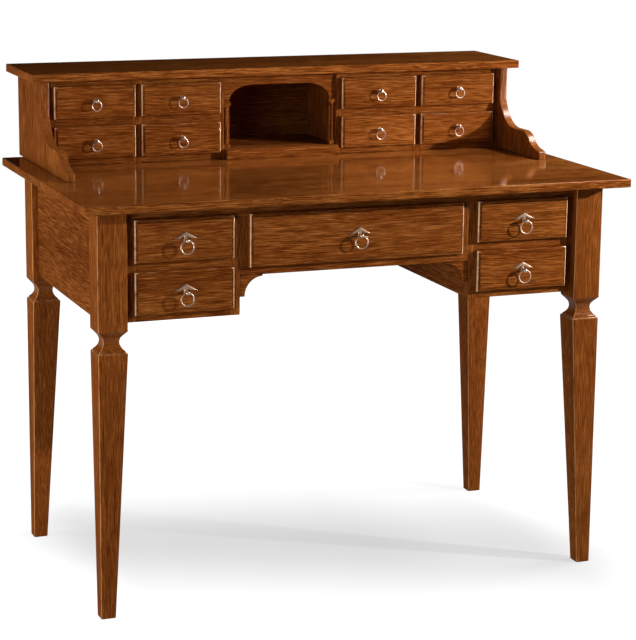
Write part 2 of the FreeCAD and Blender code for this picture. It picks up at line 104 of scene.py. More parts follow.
MIX_SHARE, MIX_FIRST, MIX_SECOND, MIX_COLOUR = 0, 6, 7, 2    # the Mix node's colour sockets


def blend(tree, share, a, b):
    """Colour a with the given share of colour b."""
    made = put(tree, "ShaderNodeMix", data_type="RGBA", blend_type="MIX")
    feed(tree, made.inputs[MIX_SHARE], share)
    feed(tree, made.inputs[MIX_FIRST], a)
    feed(tree, made.inputs[MIX_SECOND], b)
    return made.outputs[MIX_COLOUR]


def noise(tree, vector, per_metre, detail=2.0, roughness=0.5):
    """Noise whose grains per metre differ along the three axes."""
    mapping = put(tree, "ShaderNodeMapping")
    mapping.inputs["Scale"].default_value = per_metre
    tree.links.new(vector, mapping.inputs["Vector"])
    made = put(tree, "ShaderNodeTexNoise")
    tree.links.new(mapping.outputs[0], made.inputs["Vector"])
    made.inputs["Scale"].default_value = 1.0
    made.inputs["Detail"].default_value = detail
    made.inputs["Roughness"].default_value = roughness
    return made.outputs[0]


def named(tree, name):
    """A value painted on the piece."""
    return put(tree, "ShaderNodeAttribute", attribute_name=name, attribute_type="GEOMETRY")


def group(name, inputs, outputs):
    """A node group with named inputs and outputs, its two ends ready to link."""
    tree = bpy.data.node_groups.new(name, "ShaderNodeTree")
    for label, kind in inputs:
        tree.interface.new_socket(name=label, in_out="INPUT", socket_type="NodeSocket" + kind)
    for label, kind in outputs:
        tree.interface.new_socket(name=label, in_out="OUTPUT", socket_type="NodeSocket" + kind)
    return tree, put(tree, "NodeGroupInput").outputs, put(tree, "NodeGroupOutput").inputs


def new_material(name):
    """A new material with its node tree and its shader."""
    material = bpy.data.materials.new(name)
    material.use_nodes = True
    return material, material.node_tree, material.node_tree.nodes["Principled BSDF"]


def relief(tree, shader, height, strength, distance):
    """Fine relief from a height, up to the given distance."""
    bumped = put(tree, "ShaderNodeBump")
    bumped.inputs["Strength"].default_value = strength
    bumped.inputs["Distance"].default_value = distance
    feed(tree, bumped.inputs["Height"], height)
    feed(tree, shader.inputs["Normal"], bumped.outputs[0])


def new_object(name, data):
    """A new object, in the scene."""
    made = bpy.data.objects.new(name, data)
    bpy.context.scene.collection.objects.link(made)
    return made


# ------------------------------------------------------------------ walnut
SWAY_ACROSS, SWAY_DEEP = 0.034, 0.020    # metres that the grain wanders in its board
GROWTH_SHARE, STREAK_SHARE = 0.12, 0.88  # of the lines in the figure
PORE_DARKNESS = 0.55
PATCHES_OFF, PATCHES_SPREAD = 0.62, 1.1  # painted wear and highlight keep to patches of the arrises
# Painted shade in the quirks of the drawer fronts: its colour, share and added roughness.
GRIME_AND_SHADE = srgb(26, 10, 4)
GRIME_AND_SHADE_COVER = 0.86
FLECK_ROUGHNESS, PORE_ROUGHNESS, GRIME_AND_SHADE_ROUGHNESS = 0.22, 0.18, 0.3


def walnut_figure():
    """Straight-grained walnut: broad figure, growth lines, streaks, open pores, arrises lightened
    by handling and by painted highlight, and painted shade in the drawer fronts' quirks.

    The three numbers of each noise are its grains per metre, along the board and across it.
    """
    tree, given, result = group(
        "walnut figure",
        [("Grain", "Vector"), ("Dark", "Color"), ("Middle", "Color"), ("Light", "Color"),
         ("Wear_Highlight_Colour", "Color"), ("Figure", "Float"), ("Streaks", "Float"), ("Wear_Highlight_Amount", "Float"),
         ("Polish", "Float"), ("Lacquer", "Float"), ("Level", "Float"), ("Wear_Highlight_Gloss", "Float")],
        [("Color", "Color"), ("Roughness", "Float"), ("Gloss", "Float"), ("Height", "Float")])
    grain = given["Grain"]
    wander = sum_of(tree, "SUBTRACT", noise(tree, grain, (2.6, 9.0, 9.0), 2.0), 0.5)
    sway = put(tree, "ShaderNodeCombineXYZ")
    feed(tree, sway.inputs["Y"], sum_of(tree, "MULTIPLY", wander, SWAY_ACROSS))
    feed(tree, sway.inputs["Z"], sum_of(tree, "MULTIPLY", wander, SWAY_DEEP))
    swayed = put(tree, "ShaderNodeVectorMath", operation="ADD")
    feed(tree, swayed.inputs[0], grain)
    feed(tree, swayed.inputs[1], sway.outputs[0])
    along = swayed.outputs[0]

    broad = noise(tree, along, (1.6, 14.0, 14.0), 3.0, 0.55)
    growth = noise(tree, along, (7.0, 170.0, 170.0), 2.0, 0.55)
    streak = noise(tree, along, (22.0, 640.0, 640.0), 2.0, 0.6)
    pores = noise(tree, along, (75.0, 900.0, 900.0), 1.0)
    fleck = noise(tree, along, (30.0, 220.0, 220.0), 2.0, 0.6)

    tone = sum_of(tree, "MULTIPLY", sum_of(tree, "SUBTRACT", broad, 0.5), given["Figure"])
    lines = sum_of(tree, "ADD", sum_of(tree, "MULTIPLY", growth, GROWTH_SHARE),
                   sum_of(tree, "MULTIPLY", streak, STREAK_SHARE))
    lines = sum_of(tree, "MULTIPLY", sum_of(tree, "SUBTRACT", lines, 0.5), given["Streaks"])
    tone = sum_of(tree, "ADD", sum_of(tree, "ADD", tone, lines), 0.5)
    colour = blend(tree, spread(tree, tone, 0.18, 0.52), given["Dark"], given["Middle"])
    colour = blend(tree, spread(tree, tone, 0.48, 0.84), colour, given["Light"])
    pore = spread(tree, pores, 0.57, 0.70)
    colour = blend(tree, sum_of(tree, "MULTIPLY", pore, PORE_DARKNESS), colour, given["Dark"])

    # Wear and painted highlight on the arrises, kept to patches.
    patches = noise(tree, grain, (24.0, 70.0, 70.0), 3.0, 0.6)
    wear_highlight_mask = named(tree, "wear_and_highlight").outputs["Fac"]
    patches = sum_of(tree, "MULTIPLY", sum_of(tree, "SUBTRACT", patches, PATCHES_OFF),
                     PATCHES_SPREAD)
    worn_and_highlit = sum_of(tree, "ADD", wear_highlight_mask, patches)
    worn_and_highlit = sum_of(tree, "MULTIPLY", spread(tree, worn_and_highlit, 0.45, 0.95), given["Wear_Highlight_Amount"])
    worn_and_highlit = sum_of(tree, "MULTIPLY", worn_and_highlit, wear_highlight_mask)
    colour = blend(tree, worn_and_highlit, colour, given["Wear_Highlight_Colour"])
    # Painted shade in the quirks darkens and roughens the wood.
    grime_and_shade = named(tree, "grime_and_shade").outputs["Fac"]
    colour = blend(tree, sum_of(tree, "MULTIPLY", grime_and_shade, GRIME_AND_SHADE_COVER), colour, GRIME_AND_SHADE)

    feed(tree, result["Color"], colour)
    rough = sum_of(tree, "ADD", given["Polish"],
                   sum_of(tree, "MULTIPLY", sum_of(tree, "SUBTRACT", fleck, 0.5),
                          FLECK_ROUGHNESS))
    rough = sum_of(tree, "ADD", rough, sum_of(tree, "MULTIPLY", pore, PORE_ROUGHNESS))
    rough = sum_of(tree, "ADD", rough, sum_of(tree, "MULTIPLY", grime_and_shade, GRIME_AND_SHADE_ROUGHNESS),
                   clamp=True)
    feed(tree, result["Roughness"], rough)
    edge = sum_of(tree, "SUBTRACT", 1.0, named(tree, "level").outputs["Fac"])
    edge = sum_of(tree, "SUBTRACT", 1.0, sum_of(tree, "MULTIPLY", given["Level"], edge))
    sheen = sum_of(tree, "MULTIPLY", given["Lacquer"], edge)
    rubbed_and_highlit = sum_of(tree, "MULTIPLY", spread(tree, wear_highlight_mask, 0.5, 1.0), given["Wear_Highlight_Gloss"])
    feed(tree, result["Gloss"], sum_of(tree, "MAXIMUM", sheen, rubbed_and_highlit))
    height = sum_of(tree, "SUBTRACT", sum_of(tree, "MULTIPLY", streak, 0.5), pore)
    feed(tree, result["Height"], height)
    return tree


FIGURE = walnut_figure()
DARK = srgb(82, 37, 10)
MIDDLE = srgb(128, 68, 24)
LIGHT = srgb(172, 106, 50)
RIM_WEAR_AND_HIGHLIGHT = srgb(250, 212, 170)      # rims of the drawer fronts: wear, and a cream painted highlight
SOFT_WEAR_AND_HIGHLIGHT = srgb(232, 168, 108)   # softer wear and painted highlight of the other arrises
GRAIN_DEPTH = 0.4 * MM


def toned(colour, share):
    """The same stain, lighter or darker."""
    return (colour[0] * share, colour[1] * share, colour[2] * share, 1.0)


def walnut(name, tone=1.0, level=0.0, figure=0.5, streaks=1.75, wear_and_highlight=0.6, rubbed_and_highlit=0.3, polish=0.36,
           lacquer=0.06, lacquer_roughness=0.16, bump=0.3, worn_and_highlit=SOFT_WEAR_AND_HIGHLIGHT, along_object=None):
    """Stained walnut whose only real gloss is its lacquer, the shader's coat; its arrises also
    carry a painted highlight.

    Its grain follows each board, or the piece's own axes turned by along_object.
    """
    material, tree, shader = new_material(name)
    figured = put(tree, "ShaderNodeGroup", node_tree=FIGURE)
    if along_object is None:
        feed(tree, figured.inputs["Grain"], named(tree, "grain").outputs["Vector"])
    else:
        mapping = put(tree, "ShaderNodeMapping")
        mapping.inputs["Rotation"].default_value = along_object
        feed(tree, mapping.inputs["Vector"], put(tree, "ShaderNodeTexCoord").outputs["Object"])
        feed(tree, figured.inputs["Grain"], mapping.outputs[0])
    for label, value in (("Dark", toned(DARK, tone)), ("Middle", toned(MIDDLE, tone)),
                         ("Light", toned(LIGHT, tone)), ("Wear_Highlight_Colour", worn_and_highlit), ("Figure", figure),
                         ("Streaks", streaks), ("Wear_Highlight_Amount", wear_and_highlight), ("Polish", polish),
                         ("Lacquer", lacquer), ("Level", level), ("Wear_Highlight_Gloss", rubbed_and_highlit)):
        feed(tree, figured.inputs[label], value)
    relief(tree, shader, figured.outputs["Height"], bump, GRAIN_DEPTH)
    feed(tree, shader.inputs["Base Color"], figured.outputs["Color"])
    feed(tree, shader.inputs["Roughness"], figured.outputs["Roughness"])
    shader.inputs["Specular IOR Level"].default_value = 0.0
    feed(tree, shader.inputs["Coat Weight"], figured.outputs["Gloss"])
    shader.inputs["Coat Roughness"].default_value = lacquer_roughness
    return material


POLISHED = {"level": 0.95, "figure": 0.7, "streaks": 2.2, "polish": 0.3, "lacquer": 1.0,
            "lacquer_roughness": 0.1, "wear_and_highlight": 0.35, "bump": 0.12}
WALNUT_TOP = walnut("walnut_top", **POLISHED)
# A lighter copy of the writing top's walnut: painted light on the gallery top.
WALNUT_HIGH_TOP_LIT = walnut("walnut_high_top_lit", tone=1.02, **POLISHED)
# Drawer-front walnut: rims and arrises lightened by wear and a cream painted highlight; the
# brackets, niche arch, columns and gallery base boards use it too.
WALNUT_FRONT = walnut("walnut_front", wear_and_highlight=1.0, rubbed_and_highlit=0.9, worn_and_highlit=RIM_WEAR_AND_HIGHLIGHT)
# Lit and shaded copies of the leg walnut: the left legs painted lighter and the right ones darker,
# for how the light falls.
WALNUT_LEG_LIT_AND_SHADED = {spot: walnut("walnut_leg_" + spot, tone=tone, level=0.9, lacquer=0.6,
                           lacquer_roughness=0.2, wear_and_highlight=0.7, rubbed_and_highlit=0.12, streaks=1.3)
              for spot, tone in (("front_left", 1.04), ("front_right", 0.9),
                                 ("back_left", 1.08), ("back_right", 0.93))}
WALNUT_CASE = walnut("walnut_case")
WALNUT_PANEL = walnut("walnut_panel", tone=0.88, lacquer=0.04)
WALNUT_SIDE = walnut("walnut_side", level=0.92, lacquer=0.6, lacquer_roughness=0.25)
# Darker walnut for the niche and gallery back: painted shade.
WALNUT_LINING_SHADED = walnut("walnut_lining_shaded", tone=0.8, lacquer=0.0, wear_and_highlight=0.3)
WALNUT_BOX = walnut("walnut_box", tone=1.15, figure=0.4, streaks=1.6, polish=0.55,
                    lacquer=0.0, wear_and_highlight=0.2)
WALNUT_RUNNER = walnut("walnut_runner", tone=1.05, polish=0.6, lacquer=0.0, wear_and_highlight=0.0,
                       along_object=(0.0, 0.0, math.radians(90)))


# ------------------------------------------------------------------ old nickel
TARNISH_ROUGHNESS, PIT_ROUGHNESS, PIT_DEPTH = 0.25, 0.1, 0.5
NICKEL_METALLIC = 0.85
NICKEL_BUMP, NICKEL_DEPTH = 0.25, 0.3 * MM


def tarnish():
    """Cloudy patches and fine pits of old nickel, dull where the layer of dirt and painted shade
    lies.
    """
    tree, given, result = group(
        "tarnish",
        [("Bright", "Color"), ("Dull", "Color"), ("Polish", "Float"), ("Amount", "Float")],
        [("Color", "Color"), ("Roughness", "Float"), ("Height", "Float")])
    place = put(tree, "ShaderNodeTexCoord").outputs["Object"]
    clouds = noise(tree, place, (170.0, 170.0, 170.0), 4.0, 0.6)
    pits = noise(tree, place, (900.0, 900.0, 900.0), 2.0)
    share = sum_of(tree, "MULTIPLY", spread(tree, clouds, 0.38, 0.66), given["Amount"])
    grime_and_shade = named(tree, "grime_and_shade").outputs["Fac"]
    share = sum_of(tree, "MAXIMUM", share, grime_and_shade)
    feed(tree, result["Color"], blend(tree, share, given["Bright"], given["Dull"]))
    rough = sum_of(tree, "ADD", given["Polish"], sum_of(tree, "MULTIPLY", share, TARNISH_ROUGHNESS))
    rough = sum_of(tree, "ADD", rough, sum_of(tree, "MULTIPLY", pits, PIT_ROUGHNESS), clamp=True)
    feed(tree, result["Roughness"], rough)
    pits = sum_of(tree, "MULTIPLY", pits, PIT_DEPTH)
    feed(tree, result["Height"], sum_of(tree, "ADD", clouds, pits))
    return tree


TARNISH = tarnish()


def nickel(name, bright, dull, polish, amount):
    """Old nickel plate, tarnished by the given amount."""
    material, tree, shader = new_material(name)
    aged = put(tree, "ShaderNodeGroup", node_tree=TARNISH)
    for label, value in (("Bright", bright), ("Dull", dull), ("Polish", polish),
                         ("Amount", amount)):
        feed(tree, aged.inputs[label], value)
    relief(tree, shader, aged.outputs["Height"], NICKEL_BUMP, NICKEL_DEPTH)
    feed(tree, shader.inputs["Base Color"], aged.outputs["Color"])
    feed(tree, shader.inputs["Roughness"], aged.outputs["Roughness"])
    shader.inputs["Metallic"].default_value = NICKEL_METALLIC
    return material


NICKEL_RING = nickel("nickel_ring", srgb(245, 222, 205), srgb(190, 150, 122), 0.22, 0.5)
NICKEL_PLATE = nickel("nickel_plate", srgb(218, 184, 156), srgb(140, 110, 88), 0.34, 0.6)
NICKEL_EYE = nickel("nickel_eye", srgb(250, 228, 208), srgb(150, 118, 96), 0.16, 0.35)


# ------------------------------------------------------------------ mesh helpers
def block(bm, low, high):
    """A plain block between two corners."""
    low, high = Vector(low), Vector(high)
    made = bmesh.ops.create_cube(bm, size=1.0)["verts"]
    bmesh.ops.scale(bm, vec=high - low, verts=made)
    bmesh.ops.translate(bm, vec=(low + high) / 2, verts=made)
    return made


def islands(bm):
    """The separate boards of a mesh, each as its vertices."""
    seen, found = set(), []
    for start in bm.verts:
        if start in seen:
            continue
        board, stack = [], [start]
        seen.add(start)
        while stack:
            vert = stack.pop()
            board.append(vert)
            for edge in vert.link_edges:
                other = edge.other_vert(vert)
                if other not in seen:
                    seen.add(other)
                    stack.append(other)
        found.append(board)
    return found


def painted(bm, name):
    """The layer of values painted on the mesh under this name."""
    return bm.verts.layers.float.get(name) or bm.verts.layers.float.new(name)


ARRIS_ANGLE = math.radians(28.0)


def round_arrises(bm, radius, segments=3, margin=2.0 * MM):
    """Rounds every arris and paints it with handling marks and painted highlight, fading out over a
    narrow margin.
    """
    sharp = [e for e in bm.edges if len(e.link_faces) == 2
             and e.calc_face_angle(0.0) > ARRIS_ANGLE]
    rounded = bmesh.ops.bevel(bm, geom=sharp, offset=radius, offset_type="OFFSET",
                              affect="EDGES", segments=segments, profile=0.5, material=-1,
                              clamp_overlap=True)["faces"]
    arrises = set(v for f in rounded for v in f.verts)
    kept = set(rounded)
    flats = [f for f in bm.faces if f not in kept]
    bmesh.ops.inset_region(bm, faces=flats, thickness=margin, use_boundary=True,
                           use_even_offset=True)
    wear_and_highlight = painted(bm, "wear_and_highlight")
    for vert in arrises:
        if vert.is_valid:
            vert[wear_and_highlight] = 1.0


GRAIN_REACH = 9                 # metres of wood from which each board is cut


def lay_grain(bm, name, along=None):
    """Gives each board its own run of grain, along its longest side unless told otherwise."""
    chance = random.Random(name)
    layer = bm.verts.layers.float_vector.new("grain")
    for board in islands(bm):
        low = Vector(min(v.co[i] for v in board) for i in range(3))
        high = Vector(max(v.co[i] for v in board) for i in range(3))
        order = sorted(range(3), key=lambda i: -(high - low)[i])
        if along is not None:
            order.remove(along)
            order.insert(0, along)
        shift = Vector([chance.uniform(-GRAIN_REACH, GRAIN_REACH) for _ in range(3)])
        for vert in board:
            vert[layer] = Vector(vert.co[i] for i in order) + shift


def finished(name, bm, material, body, nodes, slot="walnut", smooth=40.0, along=None):
    """Turns the mesh into a piece that rides on its body and stands for its CAD nodes."""
    if slot == "walnut":
        lay_grain(bm, name, along)
    bm.normal_update()
    mesh = bpy.data.meshes.new(name)
    bm.to_mesh(mesh)
    bm.free()
    mesh.shade_smooth()
    mesh.set_sharp_from_angle(angle=math.radians(smooth))
    mesh.materials.append(material)
    piece = new_object(name, mesh)
    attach(piece, body)
    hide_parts(*nodes)


def boards(name, corners, material, node, radius=0.8 * MM, margin=2.0 * MM, body="desk",
           along=None):
    """Square-cut boards with eased arrises."""
    bm = bmesh.new()
    for low, high in corners:
        block(bm, low, high)
    round_arrises(bm, radius, margin=margin)
    finished(name, bm, material, body, [node], along=along)


def both(corners):
    """The same boards on both sides of the desk."""
    return corners + [((-high[0], low[1], low[2]), (-low[0], high[1], high[2]))
                      for low, high in corners]


def thicken(bm, depth):
    """Turns a flat outline into a board of this depth along Y, and gives the moved vertices."""
    made = bmesh.ops.extrude_face_region(bm, geom=bm.faces[:])["geom"]
    moved = [g for g in made if isinstance(g, bmesh.types.BMVert)]
    bmesh.ops.translate(bm, vec=(0, depth, 0), verts=moved)
    bmesh.ops.recalc_face_normals(bm, faces=bm.faces)
    return moved


def from_cad(node):
    """A copy of a node's mesh, its triangles merged into clean faces."""
    bm = bmesh.new()
    bm.from_mesh(frame["nodes"][node].data)
    bmesh.ops.remove_doubles(bm, verts=bm.verts, dist=0.01 * MM)
    bmesh.ops.dissolve_limit(bm, angle_limit=math.radians(1.0), verts=bm.verts, edges=bm.edges)
    return bm


# ------------------------------------------------------------------ tops, panels and frame
SLAB_ROUND = 2.0 * MM
UPPER_FACE = 0.2 * MM           # what lies this near the top is its level face


def slabs():
    """The writing top and the gallery top, with softened edges."""
    for node, stain in (("desk_top", WALNUT_TOP), ("gallery_top", WALNUT_HIGH_TOP_LIT)):
        bm = bmesh.new()
        block(bm, *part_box(node))
        round_arrises(bm, SLAB_ROUND, segments=4)
        level = painted(bm, "level")
        for vert in bm.verts:
            vert[level] = 1.0 if vert.co.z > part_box(node)[1].z - UPPER_FACE else 0.0
        finished(node + "_slab", bm, stain, "desk", [node], along=0)


def panels():
    """Side panels, pedestal sides and the two backs."""
    for node in ("side_panel_left", "side_panel_right", "pedestal_side_left",
                 "pedestal_side_right"):
        boards(node + "_board", [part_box(node)], WALNUT_PANEL, node, along=1)
    boards("back_board", [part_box("back_panel")], WALNUT_CASE, "back_panel", along=0)
    boards("gallery_back_board", [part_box("gallery_back_panel")], WALNUT_LINING_SHADED,
           "gallery_back_panel", along=0)


BRACKET_SETBACK = 4 * MM        # from the face of the frame
CASE_LIP = 5 * MM               # case fronts lap the frame this far
GALLERY_LIP = 3 * MM


def case_frame():
    """Rails and stiles round the five case drawers."""
    low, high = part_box("front_frame")
    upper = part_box("right_upper_drawer")
    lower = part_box("right_lower_drawer")
    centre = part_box("centre_drawer")
    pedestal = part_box("pedestal_side_right")
    y0, y1 = low.y, high.y
    opening_top = upper[1].z - CASE_LIP
    apron_top = centre[0].z + CASE_LIP
    apron_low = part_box("corner_brackets")[1].z
    inner, outer = pedestal[0].x, pedestal[1].x
    stile = upper[1].x - CASE_LIP
    pair = [((stile, y0, low.z), (high.x, y1, opening_top)),
            ((inner, y0, low.z), (outer, y1, opening_top)),
            ((centre[1].x - CASE_LIP, y0, apron_top), (inner, y1, opening_top)),
            ((outer, y0, lower[1].z - CASE_LIP), (stile, y1, upper[0].z + CASE_LIP)),
            ((outer, y0, low.z), (stile, y1, lower[0].z + CASE_LIP))]
    whole = [((low.x, y0, opening_top), (high.x, y1, high.z)),
             ((-inner, y0, apron_low), (inner, y1, apron_top))]
    boards("case_frame", whole + both(pair), WALNUT_CASE, "front_frame",
           radius=0.6 * MM)


ARRIS_WEAR_AND_HIGHLIGHT = (0.0, 0.4, 1.0, 1.0, 0.4, 0.0)    # wear and painted highlight across an arris of the leg
BLOCK_DROP = 12.5 * MM          # the block ends this far below the drawers' frame
NECK_HEIGHT = 39.5 * MM         # from the shoulder up to the block
TAPER_START = 3.0 * MM          # below the shoulder
LEG_ROUND, LEG_MARGIN = 2.0 * MM, 1.6 * MM
BACK_ARRIS_HIGHLIGHT, LEFT_ARRIS_HIGHLIGHT, RIGHT_ARRIS_HIGHLIGHT = 0.5, 1.0, 0.6    # wear and painted highlight of the arrises behind and of the front two; the left one lightest
EDGE_HIGHLIGHT = 0.8                 # painted highlight and wear of the level edges


def square_section(radius, margin):
    """Round a square: signs of the corner, steps in from it along x and y, and wear."""
    steps = [(0.0, radius + margin)]
    for turn in (0, 30, 60, 90):
        turn = math.radians(turn)
        steps.append((radius * (1 - math.cos(turn)), radius * (1 - math.sin(turn))))
    steps.append((radius + margin, 0.0))
    section = []
    for sx, sy in ((1, 1), (-1, 1), (-1, -1), (1, -1)):
        for number, (u, v) in enumerate(steps if sx == sy else steps[::-1]):
            section.append((sx, sy, u, v, ARRIS_WEAR_AND_HIGHLIGHT[number]))
    return section


def leg_levels(half, block_low, shoulder, top):
    """Heights of the leg with its half width and the share of its handling marks and painted
    highlight, from the floor up.
    """
    shoulder_round, band, neck_foot = 3.0 * MM, 2.5 * MM, 24.5 * MM
    waist, waist_drop = 15.5 * MM, 20.0 * MM
    chamfer_in, chamfer_drop = 8.5 * MM, 9.5 * MM
    foot_round, foot_wear, fade = 0.8 * MM, 3 * MM, 2 * MM
    edge_in, edge_below, edge_above = 0.5 * MM, 0.6 * MM, 0.3 * MM
    neck_steps = 7
    levels = [(0.0, half - foot_round, 0.3), (foot_round, half, 0.4), (foot_wear, half, 0.0),
              (shoulder - shoulder_round - fade, half, 0.0),
              (shoulder - shoulder_round, half, 0.3)]
    for turn in (30, 60, 90):
        turn = math.radians(turn)
        levels.append((shoulder - shoulder_round * (1 - math.sin(turn)),
                       half - shoulder_round * (1 - math.cos(turn)), 1.0))
    levels.append((shoulder, neck_foot, 0.2))
    flare, flare_drop = neck_foot - waist, block_low - waist_drop - shoulder - band
    sweep = (flare ** 2 + flare_drop ** 2) / (2 * flare)
    reach = math.asin(flare_drop / sweep)
    for step in range(neck_steps + 1):
        turn = reach * (1 - step / neck_steps)
        levels.append((block_low - waist_drop - sweep * math.sin(turn),
                       waist + sweep * (1 - math.cos(turn)), 0.5 if step == 0 else 0.0))
    rise, cover = waist_drop - chamfer_drop, half - chamfer_in - waist
    sweep = (cover ** 2 + rise ** 2) / (2 * cover)
    for step in (0.3, 0.55, 0.8, 1.0):
        turn = math.asin(rise / sweep) * step
        levels.append((block_low - waist_drop + sweep * math.sin(turn),
                       waist + sweep * (1 - math.cos(turn)), 0.6 if step == 1.0 else 0.0))
    levels.append((block_low - edge_below, half - edge_in, 0.6))
    levels.append((block_low + edge_above, half, 0.6))
    levels.append((block_low + fade, half, 0.0))
    levels.append((top, half, 0.0))
    return levels


def leg(side, end):
    """Square block, chamfered into a waisted neck, then a taper on the two inner faces."""
    node = "leg_%s_%s" % ("back" if end > 0 else "front", "right" if side > 0 else "left")
    low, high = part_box(node)
    size = high.x - low.x
    half = size / 2
    block_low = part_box("front_frame")[0].z - BLOCK_DROP
    shoulder = block_low - NECK_HEIGHT
    taper_top = shoulder - TAPER_START
    foot = half                 # feet are half as wide as the block
    neck_low, neck_high = shoulder - 4 * MM, block_low + 1 * MM
    middle_x = side * abs((low.x + high.x) / 2)
    middle_y = (high.y if end > 0 else low.y) - end * half
    section = square_section(LEG_ROUND, LEG_MARGIN)

    bm = bmesh.new()
    bm.verts.layers.int.new("place")
    wear_and_highlight, level = painted(bm, "wear_and_highlight"), painted(bm, "level")
    place = bm.verts.layers.int["place"]
    made = bmesh.ops.create_circle(bm, cap_ends=True, segments=len(section), radius=1.0)["verts"]
    made.sort(key=lambda v: math.atan2(v.co.y, v.co.x) % math.tau)
    for number, vert in enumerate(made):
        vert[place] = number
    face = bm.faces[:][0]
    for number, (z, reach, worn_and_highlit) in enumerate(leg_levels(half, block_low, shoulder, high.z)):
        if number:
            grown = bmesh.ops.extrude_face_region(bm, geom=[face])["geom"]
            if number > 1:
                bm.faces.remove(face)
            face = next(g for g in grown if isinstance(g, bmesh.types.BMFace))
        cut = (size - foot) * max(0.0, 1 - z / taper_top)
        for vert in face.verts:
            sx, sy, u, v, arris = section[vert[place]]
            x, y = sx * (reach - u), sy * (reach - v)
            x += side * cut if sx != side else 0.0
            y += end * cut if sy != end else 0.0
            vert.co = (middle_x + x, middle_y + y, z)
            rubbed_and_highlit = BACK_ARRIS_HIGHLIGHT if sy > 0 else LEFT_ARRIS_HIGHLIGHT if sx < 0 else RIGHT_ARRIS_HIGHLIGHT
            vert[wear_and_highlight] = max(arris * rubbed_and_highlit, worn_and_highlit * EDGE_HIGHLIGHT)
            vert[level] = 1.0 if neck_low < z < neck_high else 0.0
    bm.verts.layers.int.remove(place)
    bmesh.ops.recalc_face_normals(bm, faces=bm.faces)
    finished(node + "_post", bm, WALNUT_LEG_LIT_AND_SHADED[node[4:]], "desk", [node], along=2, smooth=35)


def brackets():
    """The cove-cut blocks, a little behind the face of the frame."""
    bm = from_cad("corner_brackets")
    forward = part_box("corner_brackets")[0].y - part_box("front_frame")[0].y - BRACKET_SETBACK
    for vert in bm.verts:
        vert.co.y -= forward
    round_arrises(bm, 0.8 * MM, margin=1.2 * MM)
    # Drawer-front walnut: the cove's arrises carry the cream painted highlight.
    finished("cove_brackets", bm, WALNUT_FRONT, "desk", ["corner_brackets"], along=0, smooth=30)


# ------------------------------------------------------------------ gallery
EDGE_FACING = 0.3               # faces turned this little to the side are the edge
RAIL_DEPTH = 16 * MM
ARCH_SETBACK, ARCH_BOARD = 5.5 * MM, 15 * MM


def gallery_sides():
    """The scrolled sides, polished on their swept edges."""
    for side in ("left", "right"):
        node = "gallery_side_" + side
        bm = from_cad(node)
        round_arrises(bm, 1.3 * MM, margin=1.8 * MM)
        level = painted(bm, "level")
        for face in bm.faces:
            if abs(face.normal.x) < EDGE_FACING:
                for vert in face.verts:
                    vert[level] = 1.0
        finished("scrolled_side_" + side, bm, WALNUT_SIDE, "desk", [node], along=2, smooth=30)


def gallery_boards():
    """Uprights, rails, shelves and base boards round the small drawers and the niche."""
    low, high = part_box("gallery_dividers")
    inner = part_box("gallery_mid_right_upper_drawer")
    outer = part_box("gallery_far_right_upper_drawer")
    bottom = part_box("gallery_mid_right_lower_drawer")
    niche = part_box("niche_arch")[1].x
    base_low, base_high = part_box("gallery_base")
    y0, y1 = low.y, high.y
    rail_back = y0 + RAIL_DEPTH
    gap = [inner[0].x + GALLERY_LIP, inner[1].x - GALLERY_LIP,
           outer[0].x + GALLERY_LIP, outer[1].x - GALLERY_LIP]
    uprights = [((niche, y0, low.z), (gap[0], y1, high.z)),
                ((gap[1], y0, low.z), (gap[2], y1, high.z)),
                ((gap[3], y0, low.z), (high.x, rail_back, high.z))]
    rails, shelves, base = [], [], []
    for x0, x1 in ((gap[0], gap[1]), (gap[2], gap[3])):
        rails.append(((x0, y0, inner[1].z - GALLERY_LIP), (x1, rail_back, high.z)))
        shelves.append(((x0, y0, bottom[1].z - GALLERY_LIP), (x1, y1, inner[0].z + GALLERY_LIP)))
        base.append(((x0, y0, low.z), (x1, y1, bottom[0].z + GALLERY_LIP)))
    floor = ((-niche, base_low.y, base_low.z), (niche, base_high.y, base_high.z))
    boards("gallery_uprights", both(uprights), WALNUT_CASE, "gallery_dividers",
           radius=0.6 * MM, margin=1.2 * MM, along=2)
    boards("gallery_rails", both(rails), WALNUT_CASE, "gallery_dividers",
           radius=0.6 * MM, margin=1.2 * MM)
    boards("gallery_shelf_boards", both(shelves), WALNUT_CASE, "gallery_shelves",
           radius=0.6 * MM, margin=1.2 * MM, along=0)
    boards("gallery_base_boards", both(base) + [floor], WALNUT_FRONT, "gallery_base",
           radius=0.9 * MM, margin=1.2 * MM, along=0)


